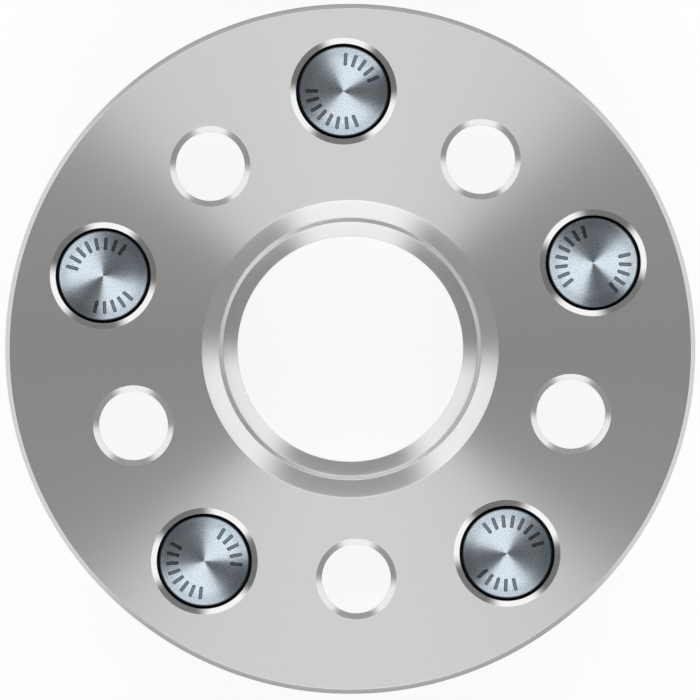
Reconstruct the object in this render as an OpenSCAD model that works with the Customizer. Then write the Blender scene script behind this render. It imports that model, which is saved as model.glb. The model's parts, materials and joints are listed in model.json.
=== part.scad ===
// Wheel spacer with two bolt circles. A turned aluminium disc bolts to the vehicle's hub through
// five countersunk holes and carries five pressed-in studs for the wheel on a larger circle.
// Millimetres. The origin is the centre of the hub face, +Z points out of that face, and the
// studs and the spigot that centres the wheel point down.

/* [Body] */
// Outside diameter of the disc
body_d = 150; // [146:0.5:165]
// Thickness from the hub face to the wheel face
body_t = 20; // [18:0.5:30]
// Width of the 45 degree chamfer on both outer edges
rim_chamfer = 1; // [0.4:0.1:2]

/* [Hub bore] */
// Diameter of the bore that sits on the hub
hub_bore_d = 57.1; // [55:0.1:60]
// Depth of that bore below the hub face
hub_bore_depth = 12; // [9:0.5:14]
// Radial width of the lead-in chamfer
lead_in_w = 3.75; // [1:0.05:5]
// Depth of the lead-in chamfer
lead_in_h = 2.2; // [1:0.1:4]
// Width of the flat land at the bottom of the bore
land_w = 0.9; // [0.4:0.1:2]
// Diameter of the opening that goes on through the spigot
opening_d = 49.2; // [44:0.1:51]
// Depth of the chamfer from the land into the opening
opening_chamfer_h = 1.8; // [0.5:0.1:3]

/* [Spigot] */
// Diameter of the spigot that centres the wheel
spigot_d = 57; // [54:0.1:66.5]
// Height of the spigot beyond the wheel face
spigot_h = 10; // [6:0.5:14]
// Radial width of the tapered nose
nose_w = 1.4; // [0.5:0.1:2]
// Height of the tapered nose
nose_h = 2.6; // [1:0.1:4]
// Radius of the fillet at the root
root_r = 0.8; // [0.3:0.1:1.5]
// Chamfer on the inner edge of the nose
nose_inner_chamfer = 0.6; // [0.2:0.1:0.8]

/* [Bolt circles] */
// Number of studs, and of hub bolt holes between them
stud_count = 5; // [4:1:6]
// Diameter of the circle through the hub bolt holes
bolt_pcd = 100; // [98:0.1:108]
// Diameter of the circle through the wheel studs
stud_pcd = 112; // [108:0.1:114.3]
// Included angle of the countersinks on the hub face
countersink_angle = 120; // [90:5:130]
// Chamfer on the edges of the holes at the wheel face
hole_chamfer = 0.5; // [0.2:0.1:1]

/* [Hub bolt holes] */
// Diameter of each hub bolt hole
bolt_hole_d = 15; // [13:0.1:16]
// Radial width of its countersink on the hub face
bolt_countersink_w = 1.25; // [0.5:0.05:2]
// Diameter of the recess that takes the bolt's head
recess_d = 26; // [24:0.1:28]
// Depth of that recess below the wheel face
recess_depth = 7; // [4:0.5:9]
// Diameter of the conical bolt seat at the recess's floor
bolt_seat_d = 20; // [18:0.1:22]
// Included angle of the conical bolt seat
bolt_seat_angle = 60; // [60:5:90]

/* [Stud pockets] */
// Gap between a stud's head and the wall of its pocket
head_gap = 0.45; // [0.1:0.05:1]
// Radial width of the pocket's countersink on the hub face
pocket_countersink_w = 1.25; // [0.5:0.05:2]
// How far each stud's head lies below the hub face
head_drop = 0.8; // [0.2:0.1:2]

/* [Studs] */
// Diameter of a stud's head
head_d = 19.8; // [18:0.1:22]
// Height of a stud's head
head_h = 5; // [4:0.5:7]
// Radius of the rounded edge of the head
head_edge_r = 0.4; // [0.2:0.1:1]
// Outside diameter of the thread
thread_d = 14; // [12:0.1:16]
// Pitch of the thread
thread_pitch = 1.5; // [1:0.25:2]
// Height of the knurl's splines above the thread's outside
knurl_rise = 0.55; // [0.3:0.05:1]
// Length of the knurl under the head
knurl_l = 10; // [6:0.5:10]
// Number of splines in the knurl
knurl_splines = 36; // [24:2:48]
// Depth of the grooves between the splines
knurl_groove = 0.45; // [0.2:0.05:0.5]
// Depth of the plain neck between the knurl and the thread
neck_drop = 0.55; // [0.3:0.05:1]
// Length of stud that stands out of the wheel face
stud_reach = 30; // [20:1:50]
// Width of the 45 degree chamfer at the tip
tip_chamfer = 1.5; // [0.5:0.1:2.5]

/* [Hidden] */
$fn = 96;

// Gap between the splines' crests and the hole they are pressed into
press_gap = 0.02;
// How far a cut runs past the face that it opens in
overcut = 1;
// Largest share of a wall or step that one edge break takes
edge_share = 0.4;
// Depth of the thread's groove and width of its flat root, as shares of the pitch
groove_depth_share = 0.6134;
groove_root_share = 1 / 6;
// Angle between the two flanks of the groove
groove_angle = 60;

hub_r = hub_bore_d / 2;
opening_r = opening_d / 2;
spigot_r = spigot_d / 2;
spigot_end_z = -body_t - spigot_h;
spigot_wall = spigot_r - opening_r;
bore_step = hub_r - opening_r;
pocket_r = head_d / 2 + head_gap;
thread_r = thread_d / 2;
knurl_r = thread_r + knurl_rise;
stud_hole_r = knurl_r + press_gap;
pocket_depth = head_drop + head_h;
web_t = body_t - pocket_depth;
stud_pitch_angle = 360 / stud_count;
first_stud_angle = 90;

aluminium_colour = [0.75, 0.75, 0.74];
plated_steel_colour = [0.55, 0.59, 0.63];

function stud_name(i) = str("wheel_stud_", i);

// Width of an edge break, limited by the wall or step that it is cut in
function edge_break(width, wall) = min(width, edge_share * wall);

// Depth of a countersink of a given radial width on the hub face
function countersink_h(width) = width / tan(countersink_angle / 2);

// Height of a cone between two radii, from its included angle
function cone_h(r_wide, r_narrow, included) = (r_wide - r_narrow) / tan(included / 2);

// Turns a child from +X to its place on a bolt circle, where shift is a share of the pitch
module on_circle(pcd, i, shift = 0)
  rotate(first_stud_angle + (i - 1 + shift) * stud_pitch_angle)
    translate([pcd / 2, 0, 0])
      children();

// Half section of the turned blank: disc, stepped hub bore and spigot. The root of the spigot is
// first left as a slope, which the circle then hollows to a fillet
module blank_section() {
  inner_chamfer = edge_break(nose_inner_chamfer, spigot_wall);
  difference() {
    polygon([
      [hub_r + lead_in_w, 0],
      [body_d / 2 - rim_chamfer, 0],
      [body_d / 2, -rim_chamfer],
      [body_d / 2, rim_chamfer - body_t],
      [body_d / 2 - rim_chamfer, -body_t],
      [spigot_r + root_r, -body_t],
      [spigot_r, -body_t - root_r],
      [spigot_r, spigot_end_z + nose_h],
      [spigot_r - edge_break(nose_w, spigot_wall), spigot_end_z],
      [opening_r + inner_chamfer, spigot_end_z],
      [opening_r, spigot_end_z + inner_chamfer],
      [opening_r, -hub_bore_depth - opening_chamfer_h],
      [hub_r - edge_break(land_w, bore_step), -hub_bore_depth],
      [hub_r, -hub_bore_depth],
      [hub_r, -lead_in_h],
    ]);
    translate([spigot_r + root_r, -body_t - root_r])
      circle(root_r);
  }
}

// Half section of the cut for one hub bolt: countersink, hole, conical seat and head recess
module bolt_hole_section() {
  hole_r = bolt_hole_d / 2;
  mouth_r = hole_r + bolt_countersink_w;
  seat_z = recess_depth - body_t;
  polygon([
    [0, overcut],
    [mouth_r, overcut],
    [mouth_r, 0],
    [hole_r, -countersink_h(bolt_countersink_w)],
    [hole_r, seat_z + cone_h(bolt_seat_d / 2, hole_r, bolt_seat_angle)],
    [bolt_seat_d / 2, seat_z],
    [recess_d / 2, seat_z],
    [recess_d / 2, hole_chamfer - body_t],
    [recess_d / 2 + hole_chamfer, -body_t],
    [recess_d / 2 + hole_chamfer, -body_t - overcut],
    [0, -body_t - overcut],
  ]);
}

// Half section of the cut for one stud: countersunk pocket for the head, then the pressed hole
module stud_pocket_section() {
  mouth_r = pocket_r + pocket_countersink_w;
  polygon([
    [0, overcut],
    [mouth_r, overcut],
    [mouth_r, 0],
    [pocket_r, -countersink_h(pocket_countersink_w)],
    [pocket_r, -pocket_depth],
    [stud_hole_r, -pocket_depth],
    [stud_hole_r, hole_chamfer - body_t],
    [stud_hole_r + hole_chamfer, -body_t],
    [stud_hole_r + hole_chamfer, -body_t - overcut],
    [0, -body_t - overcut],
  ]);
}

module spacer_body()
  color(aluminium_colour)
    difference() {
      rotate_extrude() blank_section();
      for (i = [1 : stud_count]) {
        on_circle(stud_pcd, i) rotate_extrude() stud_pocket_section();
        on_circle(bolt_pcd, i, shift = 0.5) rotate_extrude() bolt_hole_section();
      }
    }

// Half section of the head, on its seat at height 0, with a rounded upper edge
module head_section() {
  square([head_d / 2 - head_edge_r, head_h]);
  square([head_d / 2, head_h - head_edge_r]);
  translate([head_d / 2 - head_edge_r, head_h - head_edge_r])
    circle(head_edge_r);
}

// Section of one groove of the thread: a V with a flat root, open past the crests
module groove_section() {
  root_r = thread_r - groove_depth_share * thread_pitch;
  root_half = groove_root_share * thread_pitch / 2;
  mouth_r = thread_r + overcut;
  mouth_half = root_half + (mouth_r - root_r) * tan(groove_angle / 2);
  polygon([
    [root_r, -root_half],
    [mouth_r, -mouth_half],
    [mouth_r, mouth_half],
    [root_r, root_half],
  ]);
}

// Half section of the neck, which ends at the wheel face, and of the thread below it. The thread
// is drawn as rings at its pitch, which keeps every surface a true revolve
module shank_section() {
  thread_top = -web_t - neck_drop;
  tip_z = -web_t - stud_reach;
  turns = floor((thread_top - tip_z) / thread_pitch);
  difference() {
    polygon([
      [0, -knurl_l],
      [thread_r - neck_drop, -knurl_l],
      [thread_r - neck_drop, -web_t],
      [thread_r, thread_top],
      [thread_r, tip_z + tip_chamfer],
      [thread_r - tip_chamfer, tip_z],
      [0, tip_z],
    ]);
    for (turn = [1 : turns])
      translate([0, thread_top - turn * thread_pitch])
        groove_section();
  }
}

// Star of the knurl's cross-section: crest and groove points in turn
module knurl_outline() {
  half_step = 180 / knurl_splines;
  polygon([
    for (k = [0 : 2 * knurl_splines - 1])
      let (r = knurl_r - (k % 2) * knurl_groove)
        r * [cos(k * half_step), sin(k * half_step)]
  ]);
}

// One pressed-in stud, head up, with the underside of its head at height 0
module wheel_stud()
  color(plated_steel_colour) {
    rotate_extrude() head_section();
    translate([0, 0, -knurl_l])
      linear_extrude(knurl_l) knurl_outline();
    rotate_extrude() shank_section();
  }

spacer_body();
for (i = [1 : stud_count])
  on_circle(stud_pcd, i) translate([0, 0, -pocket_depth]) wheel_stud();
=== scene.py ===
# %% [markdown]
# # Finishing a wheel spacer in Blender
# A wheel spacer is a turned aluminium disc that sits between a vehicle's hub and its wheel. It is
# bolted to the hub through five countersunk holes, and five studs are pressed into it for the
# wheel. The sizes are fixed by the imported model, so the lesson starts by loading that model as a
# frame. The looks are then built around it in metres: the disc as a lathe and a drill would make
# it, and the studs with the threads and splines that they are rolled with.

# %% Load the frame
import json
import math

import bmesh
import bpy
from mathutils import Matrix, Vector


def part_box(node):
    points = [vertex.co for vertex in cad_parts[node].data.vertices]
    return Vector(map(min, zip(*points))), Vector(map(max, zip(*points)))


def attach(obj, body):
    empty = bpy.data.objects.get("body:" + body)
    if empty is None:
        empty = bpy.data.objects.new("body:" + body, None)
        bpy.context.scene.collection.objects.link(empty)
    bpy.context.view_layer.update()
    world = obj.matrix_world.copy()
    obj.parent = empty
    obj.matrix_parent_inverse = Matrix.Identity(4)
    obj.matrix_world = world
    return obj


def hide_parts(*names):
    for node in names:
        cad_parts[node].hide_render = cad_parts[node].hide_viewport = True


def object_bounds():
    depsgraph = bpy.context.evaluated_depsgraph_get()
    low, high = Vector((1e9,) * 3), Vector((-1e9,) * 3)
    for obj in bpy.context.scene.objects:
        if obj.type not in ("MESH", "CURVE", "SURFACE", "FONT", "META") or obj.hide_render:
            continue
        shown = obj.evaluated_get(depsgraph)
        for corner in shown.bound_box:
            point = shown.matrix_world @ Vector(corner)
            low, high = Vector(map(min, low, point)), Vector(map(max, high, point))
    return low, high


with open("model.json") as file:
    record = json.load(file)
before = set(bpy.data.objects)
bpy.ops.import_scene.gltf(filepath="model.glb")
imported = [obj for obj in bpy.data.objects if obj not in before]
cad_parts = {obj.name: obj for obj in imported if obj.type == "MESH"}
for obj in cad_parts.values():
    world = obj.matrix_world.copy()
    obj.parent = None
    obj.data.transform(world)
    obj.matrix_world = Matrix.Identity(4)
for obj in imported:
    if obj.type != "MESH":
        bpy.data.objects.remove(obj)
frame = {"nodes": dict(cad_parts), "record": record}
cad_low, cad_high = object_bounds()
print("frame:", sorted(frame["nodes"]))

# %% [markdown]
# ## Driving sizes
# A mount is where the part meets its neighbours, and the frame's record gives the size of each
# one. Reading the bolt circles, bores and faces from there keeps the looks on the model. The
# boxes of the nodes give the outer sizes. Only what neither of them states, such as chamfers and
# depths, is written as a number later, where it is first needed.

# %% Sizes from the mounts and boxes
MM = 0.001
mounts = {mount["name"]: mount for mount in frame["record"]["mounts"]}


def mount_size(mount, key):
    """A length of a mount, in metres."""
    return mounts[mount]["dims"][key] * MM


stud_count = mounts["wheel_studs"]["dims"]["count"]
stud_circle_r = mount_size("wheel_studs", "pcd_mm") / 2
bolt_circle_r = mount_size("hub_bolts", "pcd_mm") / 2
wheel_face_z = mounts["wheel_face"]["pos_m"][2]
body_low, body_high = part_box("spacer_body")
body_r = body_high.x
stud_low, stud_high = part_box("wheel_stud_1")
first_stud_angle = math.radians(90)
print(f"disc {2 * body_r / MM:.1f} mm across, {stud_count} studs on {2 * stud_circle_r / MM:.1f} mm")

# %% [markdown]
# ## Camera
# A catalogue picture of a flat part is taken from straight above with a long lens, so that walls
# and holes show no perspective. The camera therefore stands several metres away, and its lens is
# worked out from the width that has to fill the frame. A small roll gives the disc the turn that
# it has in the picture.

# %% Camera straight above the hub face
CAMERA_HEIGHT = 5.0
FRAME_WIDTH = 152.1 * MM
SENSOR_WIDTH = 36.0
frame_centre_x, frame_centre_y = -0.07 * MM, -0.25 * MM
camera_roll = math.radians(-1.5)
camera_data = bpy.data.cameras.new("catalogue_camera")
camera_data.sensor_width = SENSOR_WIDTH
camera_data.lens = SENSOR_WIDTH * CAMERA_HEIGHT / FRAME_WIDTH
camera = bpy.data.objects.new("catalogue_camera", camera_data)
camera.location = (frame_centre_x, frame_centre_y, CAMERA_HEIGHT)
camera.rotation_euler = (0.0, 0.0, camera_roll)
bpy.context.scene.collection.objects.link(camera)
bpy.context.scene.camera = camera
bpy.context.scene.view_settings.view_transform = "Standard"
print(f"camera lens {camera_data.lens:.0f} mm")

# %% [markdown]
# ## Small helpers for node trees
# Lights and finishes are both drawn as node trees. A few helpers keep those trees short: one adds
# a node and fills its sockets, the others wrap the maths nodes. A socket is linked where it is
# given another socket, and set where it is given a number or colour.

# %% Node helpers


def add_node(tree, kind, inputs=None, **settings):
    """A new node with its settings and its input sockets filled."""
    made = tree.nodes.new(kind)
    for name, value in settings.items():
        setattr(made, name, value)
    for name, value in (inputs or {}).items():
        if isinstance(value, bpy.types.NodeSocket):
            tree.links.new(value, made.inputs[name])
        else:
            made.inputs[name].default_value = value
    return made


def maths(tree, operation, *values):
    """The result of a maths node."""
    return add_node(tree, "ShaderNodeMath", dict(enumerate(values)), operation=operation).outputs[0]


def ramp(tree, value, low, high, bottom=0.0, top=1.0):
    """Goes smoothly from bottom to top while the value goes from low to high."""
    return add_node(
        tree,
        "ShaderNodeMapRange",
        {"Value": value, "From Min": low, "From Max": high, "To Min": bottom, "To Max": top},
        interpolation_type="SMOOTHSTEP",
    ).outputs[0]


def blend(tree, share, first, second):
    """Goes from the first value to the second as the share goes from 0 to 1."""
    return add_node(tree, "ShaderNodeMix", {0: share, 2: first, 3: second}).outputs[0]


print("node helpers ready")

# %% [markdown]
# ## Studio light
# Bare metal has hardly any colour of its own: it shows the lamps. A lathe leaves fine rings on a
# face, and each ring mirrors the light across its groove, so a turned face shows a bright and a
# dark fan wherever the studio has soft boxes and dark gaps. Area lamps would do, but a world
# shader gives the same panels without noise. Seen from the disc, two large soft boxes hang at the
# top and bottom of the picture, three low lamps stand round it, and the sides are left dim. A wave
# round the horizon says where a panel stands, and its edge is the stretch of that wave over which
# the panel fades in. Heights are in degrees: from the first to the second, one ring of panels gives
# way to the next.

# %% World of soft boxes
ZENITH_LIGHT = 0.17
SOFT_BOX_LIGHT = 1.5
SIDE_LIGHT = 0.02
LOW_LAMP_LIGHT = 1.02
LOW_GAP_LIGHT = 0.18
HORIZON_SIDE_LIGHT = 1.05
HORIZON_END_LIGHT = 0.0
LAMP_TURN = math.radians(9)
SOFT_BOX_EDGE = (0.26, -0.14)
LOW_LAMP_EDGE = (-0.35, 0.65)
HORIZON_EDGE = (-0.4, 0.4)
HORIZON_TOP = (5, 11)
LOW_LAMP_FOOT = (16, 21)
LOW_LAMP_TOP = (40, 45)
ZENITH_FOOT = (79, 85)

world = bpy.data.worlds.new("soft_box_studio")
world.use_nodes = True
bpy.context.scene.world = world
sky = world.node_tree
direction = add_node(sky, "ShaderNodeTexCoord").outputs["Generated"]
toward = add_node(sky, "ShaderNodeSeparateXYZ", {0: direction})
east, north, up = toward.outputs
bearing = maths(sky, "ARCTAN2", north, east)
two_fold = maths(sky, "COSINE", maths(sky, "MULTIPLY", bearing, 2.0))
three_fold = maths(sky, "SINE", maths(sky, "MULTIPLY_ADD", bearing, 3.0, LAMP_TURN))

soft_boxes = blend(sky, ramp(sky, two_fold, *SOFT_BOX_EDGE), SIDE_LIGHT, SOFT_BOX_LIGHT)
low_lamps = blend(sky, ramp(sky, three_fold, *LOW_LAMP_EDGE), LOW_GAP_LIGHT, LOW_LAMP_LIGHT)
horizon = blend(sky, ramp(sky, two_fold, *HORIZON_EDGE), HORIZON_END_LIGHT, HORIZON_SIDE_LIGHT)


def above(heights):
    """Goes from 0 to 1 while a direction climbs from the first height to the second."""
    low, high = (math.sin(math.radians(height)) for height in heights)
    return ramp(sky, up, low, high)


light = blend(sky, above(HORIZON_TOP), horizon, soft_boxes)
light = blend(sky, above(LOW_LAMP_FOOT), light, low_lamps)
light = blend(sky, above(LOW_LAMP_TOP), light, soft_boxes)
light = blend(sky, above(ZENITH_FOOT), light, ZENITH_LIGHT)
sky.nodes["Background"].inputs["Color"].default_value = (1.0, 1.0, 1.0, 1.0)
sky.links.new(light, sky.nodes["Background"].inputs["Strength"])
print("world nodes:", len(sky.nodes))

# %% [markdown]
# ## Floor
# The part stands on the tips of its studs, so the floor lies there. It is a pale disc with two
# layers. Most of it glows with a strength of 1, so that the camera and the metal see a white table.
# The rest is matt paint, which keeps the part's shadow. The camera and the metal see that paint
# brighter than it is, so that the table stays white beside the shadow and still throws no more
# light on the part. Seen from below, the floor is clear, so that the wheel side can be looked at as
# well.

# %% Pale floor
FLOOR_R = 4.5
FLOOR_STEPS = 64
GLOW_SHARE = 0.82
SEEN_PAINT = 1.65
PAPER_GRAIN = 25 * MM
PAPER_CONTRAST = (0.2, 0.8)
PAPER_TONES = (0.90, 0.94)
floor_shape = bmesh.new()
bmesh.ops.create_circle(floor_shape, cap_ends=True, segments=FLOOR_STEPS, radius=FLOOR_R)
bmesh.ops.translate(floor_shape, verts=floor_shape.verts[:], vec=(0, 0, cad_low.z))
floor_mesh = bpy.data.meshes.new("floor")
floor_shape.to_mesh(floor_mesh)
floor_shape.free()
floor = bpy.data.objects.new("floor", floor_mesh)
bpy.context.scene.collection.objects.link(floor)

floor_paper = bpy.data.materials.new("floor_paper")
floor_paper.use_nodes = True
paper = floor_paper.node_tree
paper.nodes.remove(paper.nodes["Principled BSDF"])
paper_noise = {"Scale": 1.0 / PAPER_GRAIN, "Detail": 3.0}
paper_grain = add_node(paper, "ShaderNodeTexNoise", paper_noise).outputs[0]
ray = add_node(paper, "ShaderNodeLightPath")
seen = maths(paper, "MAXIMUM", ray.outputs["Is Camera Ray"], ray.outputs["Is Glossy Ray"])
seen = maths(paper, "MAXIMUM", seen, ray.outputs["Is Transmission Ray"])
matt_level = ramp(paper, paper_grain, *PAPER_CONTRAST, *PAPER_TONES)
matt_level = maths(paper, "MULTIPLY", matt_level, blend(paper, seen, 1.0, SEEN_PAINT))
matt_channels = {channel: matt_level for channel in range(3)}
matt_colour = add_node(paper, "ShaderNodeCombineColor", matt_channels).outputs[0]
matt = add_node(paper, "ShaderNodeBsdfDiffuse", {"Color": matt_colour}).outputs[0]
glow = add_node(paper, "ShaderNodeEmission", {"Strength": 1.0}).outputs[0]
glow_share = maths(paper, "MULTIPLY", seen, GLOW_SHARE)
table = add_node(paper, "ShaderNodeMixShader", {0: glow_share, 1: matt, 2: glow}).outputs[0]
clear = add_node(paper, "ShaderNodeBsdfTransparent").outputs[0]
under = add_node(paper, "ShaderNodeNewGeometry").outputs["Backfacing"]
both_sides = add_node(paper, "ShaderNodeMixShader", {0: under, 1: table, 2: clear}).outputs[0]
paper.links.new(both_sides, paper.nodes["Material Output"].inputs["Surface"])
floor_mesh.materials.append(floor_paper)
print(f"floor at {cad_low.z / MM:.1f} mm")

# %% [markdown]
# ## Turning a section on the lathe
# Every piece here is turned, so one helper serves them all. It takes a half section as corners of
# radius and height, rounds each corner as its third number says, and spins the outline once round
# the axis. A round on the outline is better than a bevel on the finished solid: it is exact, and
# costs a few vertices. The face that carries the bevel is removed before the spin, and so is an
# edge on the axis, which would only spin into itself.

# %% Lathe helper
TINY = 0.00001 * MM
DISC_STEPS = 240
LARGE_ROUND = 0.3 * MM
LARGE_ROUND_SEGMENTS = 6
EDGE_SEGMENTS = 2


def turned(section, steps):
    """A closed solid of revolution round Z from corners of radius, height and rounding."""
    shape = bmesh.new()
    corners = [shape.verts.new((radius, 0.0, height)) for radius, height, rounding in section]
    shape.faces.new(corners)
    for corner, (radius, height, rounding) in zip(corners, section):
        if rounding:
            bmesh.ops.bevel(
                shape,
                geom=[corner],
                offset=rounding,
                affect="VERTICES",
                segments=LARGE_ROUND_SEGMENTS if rounding > LARGE_ROUND else EDGE_SEGMENTS,
                profile=0.5,
                material=-1,
            )
    bmesh.ops.delete(shape, geom=shape.faces[:], context="FACES_ONLY")
    on_axis = [edge for edge in shape.edges if all(vert.co.x < TINY for vert in edge.verts)]
    bmesh.ops.delete(shape, geom=on_axis, context="EDGES")
    bmesh.ops.spin(
        shape,
        geom=shape.edges[:],
        cent=(0, 0, 0),
        axis=(0, 0, 1),
        angle=math.tau,
        steps=steps,
        use_merge=True,
    )
    bmesh.ops.remove_doubles(shape, verts=shape.verts[:], dist=TINY)
    bmesh.ops.recalc_face_normals(shape, faces=shape.faces[:])
    return shape


def as_object(name, shape):
    """Turns a finished bmesh into an object in the scene."""
    mesh = bpy.data.meshes.new(name)
    shape.to_mesh(mesh)
    shape.free()
    made = bpy.data.objects.new(name, mesh)
    bpy.context.scene.collection.objects.link(made)
    return made


print("lathe ready,", DISC_STEPS, "steps for the disc")

# %% [markdown]
# ## The turned blank
# The disc starts as a bar that is faced, bored and chamfered in a lathe. The hub side has a wide
# lead-in and a bore for the hub. A narrow land at the bottom of that bore stops at a second,
# smaller opening, which goes on through the spigot. The spigot centres the wheel, so its nose is
# tapered and its root has a fillet. All other edges only have the burr taken off.

# %% Blank: disc, stepped bore and spigot
BROKEN = 0.04 * MM
hub_r = mount_size("hub_bore", "r_mm")
spigot_r = mount_size("wheel_spigot", "r_mm")
spigot_end_z = body_low.z
rim_chamfer = 1.0 * MM
lead_in_w, lead_in_h = 3.75 * MM, 2.2 * MM
bore_floor_z = -12.0 * MM
land_w = 0.9 * MM
opening_r = 24.6 * MM
opening_chamfer_h = 1.8 * MM
nose_w, nose_h = 1.4 * MM, 2.6 * MM
nose_inner_chamfer = 0.6 * MM
root_fillet = 0.8 * MM

blank = turned(
    [
        (hub_r + lead_in_w, 0.0, BROKEN),
        (body_r - rim_chamfer, 0.0, BROKEN),
        (body_r, -rim_chamfer, BROKEN),
        (body_r, wheel_face_z + rim_chamfer, BROKEN),
        (body_r - rim_chamfer, wheel_face_z, BROKEN),
        (spigot_r, wheel_face_z, root_fillet),
        (spigot_r, spigot_end_z + nose_h, BROKEN),
        (spigot_r - nose_w, spigot_end_z, BROKEN),
        (opening_r + nose_inner_chamfer, spigot_end_z, BROKEN),
        (opening_r, spigot_end_z + nose_inner_chamfer, BROKEN),
        (opening_r, bore_floor_z - opening_chamfer_h, BROKEN),
        (hub_r - land_w, bore_floor_z, BROKEN),
        (hub_r, bore_floor_z, BROKEN),
        (hub_r, -lead_in_h, BROKEN),
    ],
    DISC_STEPS,
)
body = as_object("turned_body", blank)
print("blank faces:", len(body.data.polygons))

# %% [markdown]
# ## Holes as tools
# A drilled and countersunk hole is the shape of the tools that went in, so each hole is turned as
# one solid and taken away from the blank. A cone that goes on past the face leaves an exact edge
# there, where a tool that ended level with the face would not. The bolt holes have a recess and a
# conical seat on the wheel side for the bolt's head. The stud pockets take the stud's head.

# %% Tools for the bolt holes and the stud pockets
OVERCUT = 1.0 * MM
HOLE_STEPS = 96
bolt_hole_r = mount_size("hub_bolts", "hole_r_mm")
countersink_w = 1.25 * MM
countersink_slope = math.radians(30)
countersink_h = countersink_w * math.tan(countersink_slope)
countersink_over = OVERCUT / math.tan(countersink_slope)
hole_chamfer = 0.5 * MM
recess_r = 13.0 * MM
recess_depth = 7.0 * MM
recess_floor_z = wheel_face_z + recess_depth
bolt_seat_r = 10.0 * MM
bolt_seat_half_angle = math.radians(30)
bolt_seat_h = (bolt_seat_r - bolt_hole_r) / math.tan(bolt_seat_half_angle)
head_r = (stud_high.x - stud_low.x) / 2
head_gap = 0.45 * MM
pocket_r = head_r + head_gap
head_h = 5.0 * MM
head_top_z = stud_high.z
seat_z = head_top_z - head_h
thread_r = mount_size("wheel_studs", "stud_r_mm")
knurl_rise = 0.55 * MM
knurl_r = thread_r + knurl_rise
press_gap = 0.02 * MM
stud_hole_r = knurl_r + press_gap

bolt_hole_tool = [
    (0.0, OVERCUT, 0.0),
    (bolt_hole_r + countersink_w + countersink_over, OVERCUT, 0.0),
    (bolt_hole_r, -countersink_h, BROKEN),
    (bolt_hole_r, recess_floor_z + bolt_seat_h, BROKEN),
    (bolt_seat_r, recess_floor_z, BROKEN),
    (recess_r, recess_floor_z, BROKEN),
    (recess_r, wheel_face_z + hole_chamfer, BROKEN),
    (recess_r + hole_chamfer + OVERCUT, wheel_face_z - OVERCUT, 0.0),
    (0.0, wheel_face_z - OVERCUT, 0.0),
]
stud_pocket_tool = [
    (0.0, OVERCUT, 0.0),
    (pocket_r + countersink_w + countersink_over, OVERCUT, 0.0),
    (pocket_r, -countersink_h, BROKEN),
    (pocket_r, seat_z, BROKEN),
    (stud_hole_r, seat_z, 0.0),
    (stud_hole_r, wheel_face_z + hole_chamfer, BROKEN),
    (stud_hole_r + hole_chamfer + OVERCUT, wheel_face_z - OVERCUT, 0.0),
    (0.0, wheel_face_z - OVERCUT, 0.0),
]


def on_circle(radius, place):
    """The centre of a place on a bolt circle, where a half lies between two studs."""
    angle = first_stud_angle + place * math.tau / stud_count
    return Vector((radius * math.cos(angle), radius * math.sin(angle), 0.0))


stud_places = [on_circle(stud_circle_r, place) for place in range(stud_count)]
bolt_places = [on_circle(bolt_circle_r, place + 0.5) for place in range(stud_count)]
print("first stud at", tuple(round(value / MM, 2) for value in stud_places[0]), "mm")

# %% [markdown]
# ## Cutting the blank
# The Boolean modifier takes the tools away. Its exact solver copes with the many flat strips of
# the disc, and its result is kept as the mesh, so that the faces can be painted afterwards. All
# tools of one kind go in one mesh, because none of them touches another. Edges that turn sharply
# are then marked sharp, and everything else is shaded smooth. The edges round a level face are
# sharp as well: a smooth edge would tilt the shading of the whole face towards its rounded rim.

# %% Cut the holes and mark the sharp edges
CREASE = math.radians(9)
LEVEL = 0.995


def tools_at(name, section, places):
    """One object with the same turned tool at each place."""
    joined = bmesh.new()
    for place in places:
        tool = turned(section, HOLE_STEPS)
        tool.transform(Matrix.Translation(place))
        held = bpy.data.meshes.new(name)
        tool.to_mesh(held)
        tool.free()
        joined.from_mesh(held)
        bpy.data.meshes.remove(held)
    return as_object(name, joined)


def cut_away(piece, tool):
    """Takes the tool out of the piece, keeps the result as its mesh and removes the tool."""
    modifier = piece.modifiers.new("cut", "BOOLEAN")
    modifier.operation = "DIFFERENCE"
    modifier.solver = "EXACT"
    modifier.object = tool
    graph = bpy.context.evaluated_depsgraph_get()
    result = bpy.data.meshes.new_from_object(piece.evaluated_get(graph), depsgraph=graph)
    piece.modifiers.clear()
    piece.data = result
    bpy.data.objects.remove(tool)


def mark_creases(mesh):
    """Smooth faces, with sharp edges at bends over the crease angle and round level faces."""
    shape = bmesh.new()
    shape.from_mesh(mesh)
    for face in shape.faces:
        face.smooth = True
    for edge in shape.edges:
        alike = len({abs(face.normal.z) > LEVEL for face in edge.link_faces}) == 1
        edge.smooth = alike and edge.is_manifold and edge.calc_face_angle() < CREASE
    open_edges = sum(not edge.is_manifold for edge in shape.edges)
    shape.to_mesh(mesh)
    shape.free()
    return open_edges


cut_away(body, tools_at("bolt_hole_tools", bolt_hole_tool, bolt_places))
cut_away(body, tools_at("stud_pocket_tools", stud_pocket_tool, stud_places))
print("body faces:", len(body.data.polygons), "open edges:", mark_creases(body.data))

# %% [markdown]
# ## Directions round a cut
# A cutter leaves its marks round the axis of the cut, and that axis is not the same for the disc
# and for each hole. Each material could have it as a number, but then every hole would need a
# material of its own. It is kept on the mesh as a face attribute instead, which the material
# reads. Two more helpers tip the direction of a surface towards the axis and turn a direction
# round it, for cuts whose highlights are turned in the picture.

# %% Axis helpers
AXIS = "cut_axis"


def vector_maths(tree, operation, first, second=(0, 0, 0), output="Vector"):
    """The result of a vector maths node."""
    made = add_node(tree, "ShaderNodeVectorMath", {0: first, 1: second}, operation=operation)
    return made.outputs[output]


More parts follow.
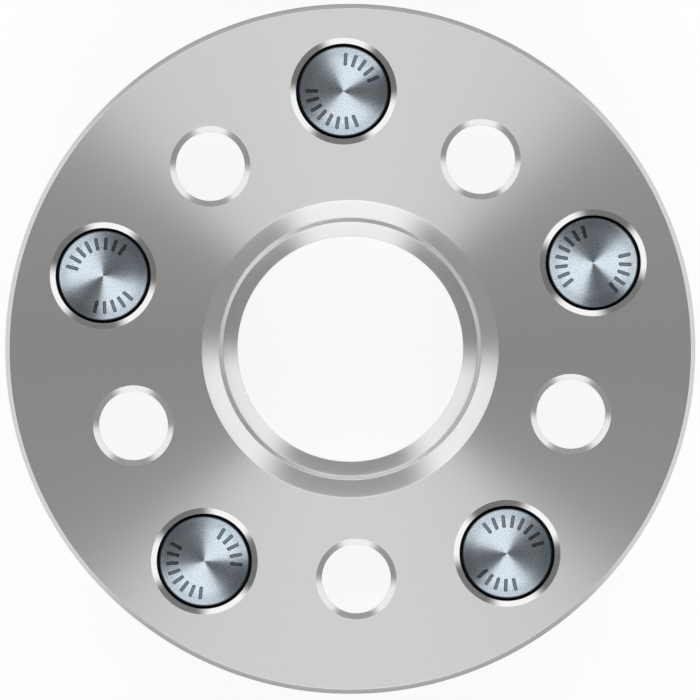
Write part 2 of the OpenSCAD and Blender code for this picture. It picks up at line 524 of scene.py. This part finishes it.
def from_axis(tree):
    """Where a point lies from the axis of its cut, and the flat part and length of that."""
    here = add_node(tree, "ShaderNodeTexCoord").outputs["Object"]
    axis = add_node(tree, "ShaderNodeAttribute", attribute_name=AXIS).outputs["Vector"]
    away = vector_maths(tree, "SUBTRACT", here, axis)
    flat = vector_maths(tree, "MULTIPLY", away, (1, 1, 0))
    return away, flat, vector_maths(tree, "LENGTH", flat, output="Value")


def tipped_in(tree, outward, share):
    """The direction of the surface, tipped towards the axis by a share of its length."""
    facing = add_node(tree, "ShaderNodeNewGeometry").outputs["Normal"]
    if not share:
        return facing
    inward = vector_maths(tree, "MULTIPLY", outward, (-share, -share, 0))
    return vector_maths(tree, "NORMALIZE", vector_maths(tree, "ADD", facing, inward))


def turned_round(tree, vector, angle):
    """A vector turned about Z by an angle, or as it is where the angle is nought."""
    if not angle:
        return vector
    inputs = {"Vector": vector, "Angle": angle}
    return add_node(tree, "ShaderNodeVectorRotate", inputs, rotation_type="Z_AXIS").outputs[0]


print("axis helpers ready, axes are kept as", AXIS)

# %% [markdown]
# ## A machined finish
# One recipe covers every cut surface. Its rings are a one-dimensional noise over the distance from
# the axis, plus a share of the height so that they also run along walls. An image texture would
# need an unwrapped mesh, and noise needs none. The rings stretch the highlight across the grooves,
# so the shader's tangent points away from the axis. Where a surface was blasted or plated, a fine
# grain lies over the rings.

# %% Machined metal recipe
WALL_SHARE = 0.7
MARK_CONTRAST = (0.25, 0.75)
UPWARD_LEAN = (0.0, 0.0, 0.3)


def cutter_marks(tree, away, radius, ring, grain):
    """The pattern and the height of the cutter's rings, with a grain over them if there is one."""
    up = add_node(tree, "ShaderNodeSeparateXYZ", {0: away}).outputs["Z"]
    run = maths(tree, "MULTIPLY_ADD", up, WALL_SHARE, radius)
    rings = add_node(
        tree,
        "ShaderNodeTexNoise",
        {"W": run, "Scale": 1.0 / ring[0], "Detail": 3.0, "Roughness": 0.6},
        noise_dimensions="1D",
    ).outputs[0]
    height = maths(tree, "MULTIPLY", rings, ring[1])
    if not grain:
        return rings, height
    specks = add_node(
        tree,
        "ShaderNodeTexNoise",
        {"Vector": away, "Scale": 1.0 / grain[0], "Detail": 2.0, "Roughness": 0.7},
    ).outputs[0]
    return specks, maths(tree, "MULTIPLY_ADD", specks, grain[1], height)


def machined(
    name,
    tones,
    roughness,
    ring,
    stretch=0.0,
    metal=1.0,
    turn=0.0,
    lean=UPWARD_LEAN,
    dish=0.0,
    swirl=0.0,
    grain=None,
):
    """A metal with cutter rings. Tones and roughness are pairs, from the lows to the highs of the
    pattern. Ring and grain are pairs of width and height. Stretch is how far the highlight runs
    across the rings. Turn, as a share of a full turn, and lean bend its direction. Dish tips the
    surface towards its axis, and swirl turns all the highlights of a cut round its axis."""
    material = bpy.data.materials.new(name)
    material.use_nodes = True
    tree = material.node_tree
    away, flat, radius = from_axis(tree)
    pattern, height = cutter_marks(tree, away, radius, ring, grain)
    contrast = ramp(tree, pattern, *MARK_CONTRAST)
    colour = add_node(
        tree,
        "ShaderNodeMix",
        {0: contrast, 6: (*tones[0], 1.0), 7: (*tones[1], 1.0)},
        data_type="RGBA",
    ).outputs[2]
    outward = vector_maths(tree, "NORMALIZE", flat)
    facing = turned_round(tree, tipped_in(tree, outward, dish), -swirl)
    across = turned_round(tree, vector_maths(tree, "ADD", outward, lean), -swirl)
    bump_inputs = {"Distance": 1.0, "Height": height, "Normal": facing}
    bump = add_node(tree, "ShaderNodeBump", bump_inputs).outputs[0]
    shader = tree.nodes["Principled BSDF"]
    shader.inputs["Metallic"].default_value = metal
    shader.inputs["Anisotropic"].default_value = stretch
    shader.inputs["Anisotropic Rotation"].default_value = turn
    tree.links.new(colour, shader.inputs["Base Color"])
    tree.links.new(blend(tree, contrast, *roughness), shader.inputs["Roughness"])
    tree.links.new(bump, shader.inputs["Normal"])
    tree.links.new(across, shader.inputs["Tangent"])
    return material


print("machined recipe ready")

# %% [markdown]
# ## Faces and walls of the disc
# The hub face is turned with a fine feed and looks satin. The wheel face and the rim are turned
# with a coarser feed, so their rings show more. Walls of bores and holes are plainer. The pockets
# under the stud heads and the sides of the heads get a near-black finish, which is painted shade:
# the dark of the narrow gap round each head. Pure metal would go black between the lamps, so a
# satin surface has a share of matt reflection too.

# %% Materials of the faces and walls


def grey(low, high):
    """A pair of neutral tones."""
    return (low, low, low), (high, high, high)


turned_face = machined(
    "turned_face",
    grey(0.69, 0.71),
    (0.33, 0.36),
    ring=(0.4 * MM, 0.0005 * MM),
    stretch=1.0,
    metal=0.60,
)
turned_wheel_face = machined(
    "turned_wheel_face",
    grey(0.56, 0.72),
    (0.30, 0.38),
    ring=(0.5 * MM, 0.001 * MM),
    stretch=0.8,
    metal=0.7,
)
turned_rim = machined(
    "turned_rim", grey(0.64, 0.70), (0.16, 0.20), ring=(0.3 * MM, 0.001 * MM), stretch=0.3
)
turned_wall = machined(
    "turned_wall", grey(0.46, 0.56), (0.26, 0.34), ring=(0.5 * MM, 0.003 * MM), stretch=0.5
)
bored_wall = machined(
    "bored_wall", grey(0.70, 0.80), (0.28, 0.36), ring=(0.4 * MM, 0.002 * MM), stretch=0.5
)
# Painted shade: near-black tones for the pocket walls and floors and the sides of the stud heads.
pocket_painted_shade = machined(
    "pocket_painted_shade",
    ((0.033, 0.038, 0.043), (0.056, 0.063, 0.070)),
    (0.5, 0.6),
    ring=(0.4 * MM, 0.002 * MM),
)
print("hub face nodes:", len(turned_face.node_tree.nodes))

# %% [markdown]
# ## Chamfers and the land
# The chamfers are cut last with a fresh edge and come out brighter, and those of the stud pockets
# are almost mirrors. In the picture the bright and dark parts of each pocket's chamfer are turned
# as far as the stud in it, so the direction of those faces is turned round the pocket in their
# shader. Three lamps light the chamfers, so whole thirds of a turn are left out. The land at the
# bottom of the bore is half matt, and it is bright where the chamfers beside it are dark, so its
# direction is tipped and turned too. Twisted faces could be modelled for this, but then the
# chamfers would no longer be the plain cones that the tools cut.

# %% Materials of the chamfers and the land
stud_turns = [math.radians(turn) for turn in (173, 47, 145, 10, 100)]
unturned_stud = math.radians(56)
lamp_step = math.tau / 3
pocket_chamfers = [
    machined(
        f"pocket_chamfer_{place + 1}",
        grey(0.87, 0.92),
        (0.11, 0.15),
        ring=(0.3 * MM, 0.0005 * MM),
        stretch=0.3,
        swirl=math.remainder(turn - unturned_stud, lamp_step),
    )
    for place, turn in enumerate(stud_turns)
]
satin_chamfer = machined(
    "satin_chamfer",
    grey(0.90, 0.93),
    (0.15, 0.19),
    ring=(0.3 * MM, 0.0005 * MM),
    stretch=0.3,
    metal=0.72,
)
land_dish = 0.53
land_swirl = math.radians(70)
matt_land = machined(
    "matt_land",
    grey(0.96, 1.0),
    (0.30, 0.36),
    ring=(0.3 * MM, 0.001 * MM),
    metal=0.37,
    dish=land_dish,
    swirl=land_swirl,
)
disc_finishes = [
    turned_face,
    turned_wheel_face,
    turned_rim,
    turned_wall,
    *pocket_chamfers,
    satin_chamfer,
    bored_wall,
    matt_land,
    pocket_painted_shade,
]
for finish in disc_finishes:
    body.data.materials.append(finish)
print("disc finishes:", [finish.name for finish in disc_finishes])

# %% [markdown]
# ## Painting the disc by place
# Each face knows its own centre and direction, which is enough to say which cut made it. A face
# within a hole's mouth belongs to that hole and takes the hole's axis. What points straight up or
# down is a face, what stands upright is a wall, and what leans is a chamfer.

# %% Give each face its finish and axis
NEAR = 0.02 * MM
UPRIGHT = 0.05
mouth_r = countersink_w + hole_chamfer
disc_axis = Vector((0, 0, 0))


def hole_of(centre):
    """The axis and kind of the hole or pocket that a point lies in, or else those of the disc."""
    for kind, radius, places in (("bolt", recess_r, bolt_places), ("stud", pocket_r, stud_places)):
        for place in places:
            if (centre.xy - place.xy).length < radius + mouth_r:
                return place, kind
    return disc_axis, "disc"


def finish_of(centre, normal, axis, kind):
    """The finish of a face of the disc."""
    level = abs(normal.z) > LEVEL
    if level and abs(centre.z) < NEAR:
        return turned_face
    if level and abs(centre.z - wheel_face_z) < NEAR:
        return turned_wheel_face
    # Pocket walls and floors take the painted shade.
    if kind == "stud" and seat_z - NEAR < centre.z < -countersink_h:
        return pocket_painted_shade
    if level and kind == "disc" and abs(centre.z - bore_floor_z) < NEAR:
        return matt_land
    upright = abs(normal.z) < UPRIGHT
    if kind == "disc" and centre.xy.length > body_r - rim_chamfer:
        return turned_wall if upright else turned_rim
    if level or upright:
        return bored_wall
    if kind == "stud" and centre.z > seat_z:
        return pocket_chamfers[stud_places.index(axis)]
    return satin_chamfer


def keep_axes(mesh, axes):
    """Stores the axis of the cut that made each face on the mesh."""
    layer = mesh.attributes.new(AXIS, "FLOAT_VECTOR", "FACE")
    layer.data.foreach_set("vector", [value for axis in axes for value in axis])


disc_axes = []
counts = {finish.name: 0 for finish in disc_finishes}
for face in body.data.polygons:
    axis, kind = hole_of(face.center)
    finish = finish_of(face.center, face.normal, axis, kind)
    face.material_index = disc_finishes.index(finish)
    counts[finish.name] += 1
    disc_axes.append(disc_axis if finish in (turned_face, turned_wheel_face) else axis)
keep_axes(body.data, disc_axes)
print("faces by finish:", counts)

# %% [markdown]
# ## One stud
# A press-in stud is forged: a flat round head, a band of splines that bites into the disc, a
# relieved neck and a rolled thread. It is turned as one section. Splines come from drawing in
# every second column of vertices in their band, which is what the forging die does.

# %% Stud blank with splines
STUD_STEPS = 72
knurl_l = 10.0 * MM
knurl_end_z = seat_z - knurl_l
spline_depth = 0.45 * MM
neck_drop = 0.55 * MM
neck_r = thread_r - neck_drop
thread_top_z = wheel_face_z - neck_drop
tip_z = stud_low.z
tip_chamfer = 1.5 * MM
head_edge_r = 0.4 * MM

stud_section = [
    (0.0, head_top_z, 0.0),
    (head_r, head_top_z, head_edge_r),
    (head_r, seat_z, BROKEN),
    (knurl_r, seat_z, 0.0),
    (knurl_r, knurl_end_z, 0.0),
    (neck_r, knurl_end_z, 0.0),
    (neck_r, wheel_face_z, 0.0),
    (thread_r, thread_top_z, 0.0),
    (thread_r, tip_z + tip_chamfer, 0.0),
    (thread_r - tip_chamfer, tip_z, BROKEN),
    (0.0, tip_z, 0.0),
]
stud_shape = turned(stud_section, STUD_STEPS)
spline_inset = (knurl_r - spline_depth) / knurl_r
for vert in stud_shape.verts:
    column = round(math.atan2(vert.co.y, vert.co.x) / math.tau * STUD_STEPS)
    if abs(vert.co.xy.length - knurl_r) < TINY and column % 2:
        vert.co.xy *= spline_inset
stud_blank = as_object("stud_blank", stud_shape)
print("stud blank faces:", len(stud_blank.data.polygons))

# %% [markdown]
# ## The thread
# A screw thread is a groove that climbs one pitch for each turn. The groove's own section is a
# blunt V of 60 degrees, and spinning that section with a step along the axis makes a long coil,
# which the Boolean takes out of the stud. The coil runs past the tip. At the neck its last turn
# moves outwards, so the groove fades out as it does behind a rolling die.

# %% Coil that cuts the thread
PITCH = 1.5 * MM
TURN_STEPS = 48
groove_depth = 0.92 * MM
groove_root_r = thread_r - groove_depth
groove_root_half = 0.125 * MM
groove_overcut = 0.1 * MM
groove_mouth_r = thread_r + groove_overcut
groove_slope = math.tan(math.radians(30))
groove_mouth_half = groove_root_half + (groove_mouth_r - groove_root_r) * groove_slope
coil_low_z = tip_z - PITCH
turns = math.ceil((thread_top_z - coil_low_z) / PITCH)
fade_z = coil_low_z + (turns - 1) * PITCH
fade_slope = 1.2

coil = bmesh.new()
groove = [
    coil.verts.new((radius, 0.0, coil_low_z + half))
    for radius, half in (
        (groove_root_r, -groove_root_half),
        (groove_mouth_r, -groove_mouth_half),
        (groove_mouth_r, groove_mouth_half),
        (groove_root_r, groove_root_half),
    )
]
for first, second in zip(groove, groove[1:] + groove[:1]):
    coil.edges.new((first, second))
bmesh.ops.spin(
    coil,
    geom=coil.edges[:],
    cent=(0, 0, 0),
    axis=(0, 0, 1),
    dvec=(0, 0, PITCH / TURN_STEPS),
    angle=math.tau * turns,
    steps=TURN_STEPS * turns,
    use_merge=False,
)
open_ends = [edge for edge in coil.edges if edge.is_boundary]
bmesh.ops.holes_fill(coil, edges=open_ends, sides=4)
for vert in coil.verts:
    if vert.co.z > fade_z:
        grown = vert.co.xy.length + (vert.co.z - fade_z) * fade_slope
        vert.co.xy *= grown / vert.co.xy.length
bmesh.ops.recalc_face_normals(coil, faces=coil.faces[:])
cut_away(stud_blank, as_object("thread_coil", coil))
print("threaded stud faces:", len(stud_blank.data.polygons), "turns:", turns)

# %% [markdown]
# ## Strength marks on the head
# A stud's head is marked for its strength when it is forged. Plain radial bars do that here: eight
# in a long arc and five in a short one. Each bar starts as a cube that is scaled to the mark's
# size, and its upright edges are rounded. Its foot is then drawn in, because a stamp needs sloping
# sides to come out again. All the bars are later taken out of the head together.

# %% Stamped bars
bar_l, bar_w, bar_depth = 3.0 * MM, 1.05 * MM, 0.3 * MM
bar_round, bar_round_segments = 0.3 * bar_w, 4
bar_circle_r = 6.95 * MM
bar_foot = (0.84, 0.45, 1.0)
bar_step = math.radians(16)
long_arc, long_count = math.radians(61), 8
short_arc, short_count = math.radians(240), 5


def bar_arc(shape, middle, count):
    """Adds an arc of radial bars whose middle is at that angle round the head."""
    for place in range(count):
        turn = Matrix.Rotation(middle + (place - (count - 1) / 2) * bar_step, 3, "Z")
        bar = bmesh.ops.create_cube(shape, size=1.0)["verts"]
        bmesh.ops.scale(shape, verts=bar, vec=(bar_l, bar_w, 2 * bar_depth))
        edges = {edge for vert in bar for edge in vert.link_edges}
        upright = [edge for edge in edges if edge.verts[0].co.xy == edge.verts[1].co.xy]
        rounded = bmesh.ops.bevel(
            shape,
            geom=upright,
            offset=bar_round,
            affect="EDGES",
            segments=bar_round_segments,
            profile=0.5,
            material=-1,
        )
        bar = list({vert for face in rounded["faces"] for vert in face.verts})
        foot = [vert for vert in bar if vert.co.z < 0]
        bmesh.ops.scale(shape, verts=foot, vec=bar_foot)
        bmesh.ops.translate(shape, verts=bar, vec=(bar_circle_r, 0, head_top_z))
        bmesh.ops.rotate(shape, verts=bar, cent=(0, 0, 0), matrix=turn)


print("bars go", round(bar_depth / MM, 2), "mm deep")

# %% [markdown]
# ## Finish of the studs
# The studs are zinc plated, which gives steel a cool, slightly blue grey with a fine grain. The
# heads were faced before that, so they still show a fan of light as the disc does. Each stud went
# in with its own turn, which its marks and its fan share, so the highlight is turned by a constant
# on each head's shader. The rings on a head lie wider apart on one side, and the dark fan there is
# wider too: a constant lean of the tangent does that. Shade is painted into the colour as well: a
# blue-grey darkening over the outer part of each head, a near-black ring at its edge, dark walls
# and floors in the stamped marks, and dark roots in the thread.

# %% Materials of the studs
# Painted shade on the heads: a blue-grey darkening over the outer part and a near-black rim ring.
OUTER_SHADE_STRENGTH = 0.26
ROOT_SHADE_STRENGTH = 0.75
head_outer_shade = (6.4 * MM, 8.6 * MM)
head_rim_shade = (9.3 * MM, 9.7 * MM)
# Painted shade in the roots of the thread; the crests stay unshaded.
unshaded_crest = 0.25 * MM
root_shade = (thread_r - unshaded_crest, groove_root_r)
shade_colour = (0.03, 0.034, 0.038, 1.0)
outer_shade_colour = (0.08, 0.13, 0.18, 1.0)


def paint_shade(material, radii, strength=1.0, colour=shade_colour):
    """Paints shade on a stud: darkens it from the first distance to its axis up to the second one."""
    tree = material.node_tree
    socket = tree.nodes["Principled BSDF"].inputs["Base Color"]
    unshaded = socket.links[0].from_socket
    radius = from_axis(tree)[2]
    shade_share = ramp(tree, radius, *radii, top=strength)
    mixed = add_node(tree, "ShaderNodeMix", {0: shade_share, 6: unshaded, 7: colour}, data_type="RGBA")
    tree.links.new(mixed.outputs[2], socket)


plated_thread = machined(
    "plated_thread",
    ((0.46, 0.50, 0.54), (0.60, 0.65, 0.70)),
    (0.28, 0.38),
    ring=(0.6 * MM, 0.001 * MM),
    grain=(0.5 * MM, 0.004 * MM),
)
# Painted shade: the walls of the stamped marks are near black.
stamped_wall = machined(
    "stamped_wall",
    ((0.035, 0.04, 0.045), (0.07, 0.078, 0.085)),
    (0.35, 0.45),
    ring=(0.3 * MM, 0.001 * MM),
    grain=(0.4 * MM, 0.004 * MM),
)
wide_side_angle = math.radians(22)
wide_side_share = 0.305


def faced_steel(name, tones, turn):
    """Faced and plated steel of a head with that turn."""
    lean = Matrix.Rotation(wide_side_angle + turn, 3, "Z") @ Vector((wide_side_share, 0, 0))
    return machined(
        name,
        tones,
        (0.26, 0.34),
        ring=(0.25 * MM, 0.0004 * MM),
        stretch=0.94,
        metal=0.96,
        turn=-turn / math.tau,
        lean=lean,
        grain=(0.27 * MM, 0.008 * MM),
    )


head_tones = ((0.50, 0.60, 0.725), (0.895, 0.975, 1.0))
# The floors of the stamped marks are painted darker than the head: painted shade in the marks.
mark_tones = ((0.15, 0.175, 0.20), (0.25, 0.28, 0.31))
head_faces = [
    faced_steel(f"plated_head_{place + 1}", head_tones, turn) for place, turn in enumerate(stud_turns)
]
mark_floors = [
    faced_steel(f"stamped_floor_{place + 1}", mark_tones, turn) for place, turn in enumerate(stud_turns)
]
# Painted shade on each head: a blue-grey darkening over its outer part, then a near-black rim.
for head_face in head_faces:
    paint_shade(head_face, head_outer_shade, strength=OUTER_SHADE_STRENGTH, colour=outer_shade_colour)
    paint_shade(head_face, head_rim_shade)
# Painted shade in the roots of the thread.
paint_shade(plated_thread, root_shade, strength=ROOT_SHADE_STRENGTH)
print("head finishes:", len(head_faces))

# %% [markdown]
# ## Five studs in their pockets
# Each stud is a copy of the threaded blank with its own two arcs of bars, moved to its place on
# the bolt circle. The head takes the faced finish, its side and rounded edge the painted shade of
# the pocket, its stamped marks their painted shade, and the rest of the stud the plated one. Every
# stud stands for its node of the frame and rides on the frame's body.

# %% Place the studs


def stud_finish(centre, axis):
    """The name of the finish of a face of a stud, from its height and its distance from the axis."""
    marked = (centre.xy - axis.xy).length < bar_circle_r + bar_l / 2
    if centre.z > head_top_z - NEAR:
        return "head"
    if marked and abs(centre.z - head_top_z + bar_depth) < NEAR:
        return "mark floor"
    if marked and centre.z > head_top_z - bar_depth:
        return "mark wall"
    # The side and rounded edge of the head take the painted shade of the pocket.
    if centre.z > seat_z + NEAR:
        return "shaded edge"
    return "thread"


studs = []
for place, centre in enumerate(stud_places):
    stud = bpy.data.objects.new(f"pressed_stud_{place + 1}", stud_blank.data.copy())
    bpy.context.scene.collection.objects.link(stud)
    bars = bmesh.new()
    bar_arc(bars, stud_turns[place] + long_arc, long_count)
    bar_arc(bars, stud_turns[place] + short_arc, short_count)
    cut_away(stud, as_object("bars", bars))
    stud.data.transform(Matrix.Translation(centre))
    open_edges = mark_creases(stud.data)
    stud_finishes = {
        "thread": plated_thread,
        "head": head_faces[place],
        "mark floor": mark_floors[place],
        "mark wall": stamped_wall,
        "shaded edge": pocket_painted_shade,
    }
    stud.data.materials.clear()
    for finish in stud_finishes.values():
        stud.data.materials.append(finish)
    slot_names = list(stud_finishes)
    for face in stud.data.polygons:
        face.material_index = slot_names.index(stud_finish(face.center, centre))
    keep_axes(stud.data, [centre] * len(stud.data.polygons))
    studs.append(stud)
    print(stud.name, "faces:", len(stud.data.polygons), "open edges:", open_edges)
bpy.data.objects.remove(stud_blank)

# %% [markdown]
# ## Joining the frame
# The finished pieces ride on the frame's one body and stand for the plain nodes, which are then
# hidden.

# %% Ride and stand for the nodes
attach(body, "root")
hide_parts("spacer_body")
for place, stud in enumerate(studs):
    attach(stud, "root")
    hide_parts(f"wheel_stud_{place + 1}")
print("pieces:", [body.name] + [stud.name for stud in studs])
